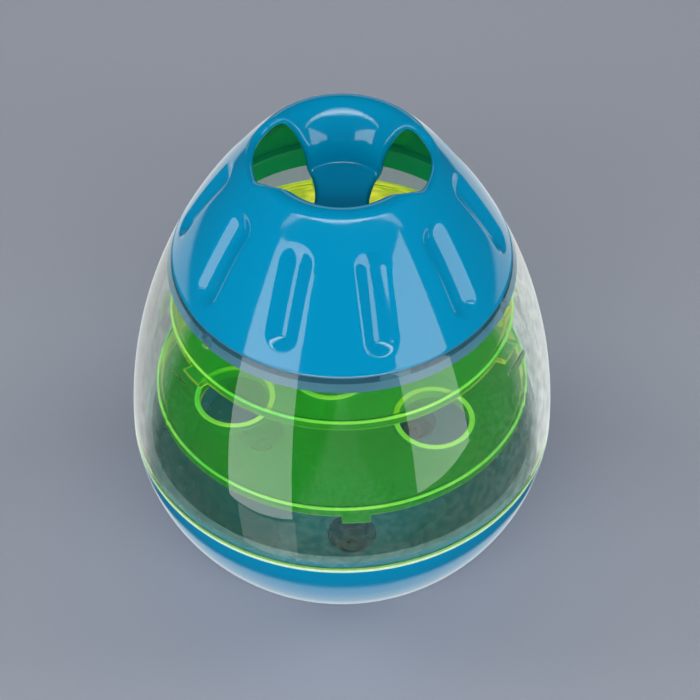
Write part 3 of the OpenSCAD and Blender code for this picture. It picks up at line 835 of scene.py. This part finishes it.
# A refracted ray counts as glossy too, so it is told apart last. From below, the floor is see-through.
surface = mixed(tree, path.outputs["Is Glossy Ray"], shader.outputs[0], reflected)
surface = mixed(tree, path.outputs["Is Transmission Ray"], surface, through)
side = tree.nodes.new("ShaderNodeNewGeometry")
surface = mixed(tree, side.outputs["Backfacing"], surface, clear.outputs[0])
tree.links.new(surface, tree.nodes["Material Output"].inputs["Surface"])
floor_mesh = bpy.data.meshes.new("floor")
corners = [(x * FLOOR_HALF, y * FLOOR_HALF, 0) for x, y in ((-1, -1), (1, -1), (1, 1), (-1, 1))]
floor_mesh.from_pydata(corners, [], [(0, 1, 2, 3)])
floor_mesh.materials.append(mat)
floor = bpy.data.objects.new("floor", floor_mesh)
bpy.context.scene.collection.objects.link(floor)

# The camera stands where the photograph's did. FOCAL and FRAME_SIDE are in pixels, and AIM shows at the
# pixel AXIS_X, AIM_Y.
AIM = Vector((0, 0, 0.07792))
ELEVATION = math.radians(47.72)
DISTANCE, FOCAL, FRAME_SIDE, SENSOR_W = 0.8, 2602, 700, 36
AXIS_X, AIM_Y = 342, 359.5
camera = bpy.data.objects.new("camera", bpy.data.cameras.new("camera"))
bpy.context.scene.collection.objects.link(camera)
back = Vector((0, -math.cos(ELEVATION), math.sin(ELEVATION)))
camera.location = AIM + back * DISTANCE
camera.rotation_mode = "QUATERNION"
camera.rotation_quaternion = (-back).to_track_quat("-Z", "Y")
camera.data.sensor_width = SENSOR_W
camera.data.lens = FOCAL / FRAME_SIDE * SENSOR_W
camera.data.shift_x = (FRAME_SIDE / 2 - AXIS_X) / FRAME_SIDE
camera.data.shift_y = (AIM_Y - FRAME_SIDE / 2) / FRAME_SIDE
camera.data.clip_start = 0.01
bpy.context.scene.camera = camera


def soft_box(name, azimuth, far, z, width, height, level, tilt=0, lean=0, shape="RECTANGLE"):
    """A soft box whose face has that brightness, in a direction from the front and turned to the toy. It
    tilts down by tilt and leans over in its own plane by lean, in degrees. A lamp's energy is its
    brightness times pi times its area."""
    data = bpy.data.lights.new(name, "AREA")
    data.shape = shape
    data.size, data.size_y = width, height
    data.energy = level * math.pi * width * height * (math.pi / 4 if shape == "ELLIPSE" else 1)
    lamp = bpy.data.objects.new(name, data)
    a, tilt = math.radians(azimuth), math.radians(tilt)
    lamp.location = (far * math.sin(a), -far * math.cos(a), z)
    lamp.rotation_mode = "QUATERNION"
    aim = Vector((-math.sin(a) * math.cos(tilt), math.cos(a) * math.cos(tilt), -math.sin(tilt)))
    lamp.rotation_quaternion = Quaternion(aim, math.radians(lean)) @ aim.to_track_quat("-Z", "Y")
    lamp.visible_camera = False
    bpy.context.scene.collection.objects.link(lamp)
    return lamp


# The boxes in front reach below the floor, where only reflections see them, and the fills show in none.
soft_box("left_box", azimuth=-41, far=1.5, z=-0.16, width=0.9, height=1.79, level=3.5)
soft_box("left_box_low", azimuth=-38, far=1.5, z=-1.33, width=0.8, height=0.5, level=1)
soft_box("right_box", azimuth=47, far=1.5, z=-0.03, width=0.8, height=1.49, level=3, lean=-10)
for k, (width, deep) in enumerate(((1.6, 0.67), (3.0, 0.42), (4.5, 0.22))):
    above = 1.16 - 0.005 * k
    soft_box("top_box_%d" % k, 0, 1.2, above, width, deep, level=2.7, tilt=90, shape="ELLIPSE")
soft_box("back_box", azimuth=180, far=1.6, z=0.55, width=2.4, height=0.9, level=0.8)
for side, azimuth in (("left", -95), ("right", 95)):
    fill = soft_box(side + "_fill", azimuth, far=1.5, z=0.95, width=0.8, height=0.8, level=4, tilt=30)
    fill.visible_glossy = False

# The world is the room's faint light, darker in reflections, and the camera and the clear plastic see a
# wall of the floor's grey.
ROOM_WHITE = (0.9, 0.95, 1.0, 1)
world = bpy.data.worlds.new("world")
world.use_nodes = True
tree = world.node_tree
room = tree.nodes["Background"]
room.inputs["Color"].default_value = ROOM_WHITE
room.inputs["Strength"].default_value = 0.15
dark = add_node(tree, "ShaderNodeBackground", Color=ROOM_WHITE, Strength=0.04)
wall = add_node(tree, "ShaderNodeBackground", Color=(*FLOOR_GREY, 1), Strength=1.0)
path = tree.nodes.new("ShaderNodeLightPath")
surface = mixed(tree, path.outputs["Is Glossy Ray"], room.outputs[0], dark.outputs[0])
seen = maths(tree, "MAXIMUM", path.outputs["Is Camera Ray"], path.outputs["Is Transmission Ray"])
surface = mixed(tree, seen, surface, wall.outputs[0])
tree.links.new(surface, tree.nodes["World Output"].inputs["Surface"])
bpy.context.scene.world = world
bpy.context.scene.view_settings.view_transform = "Standard"
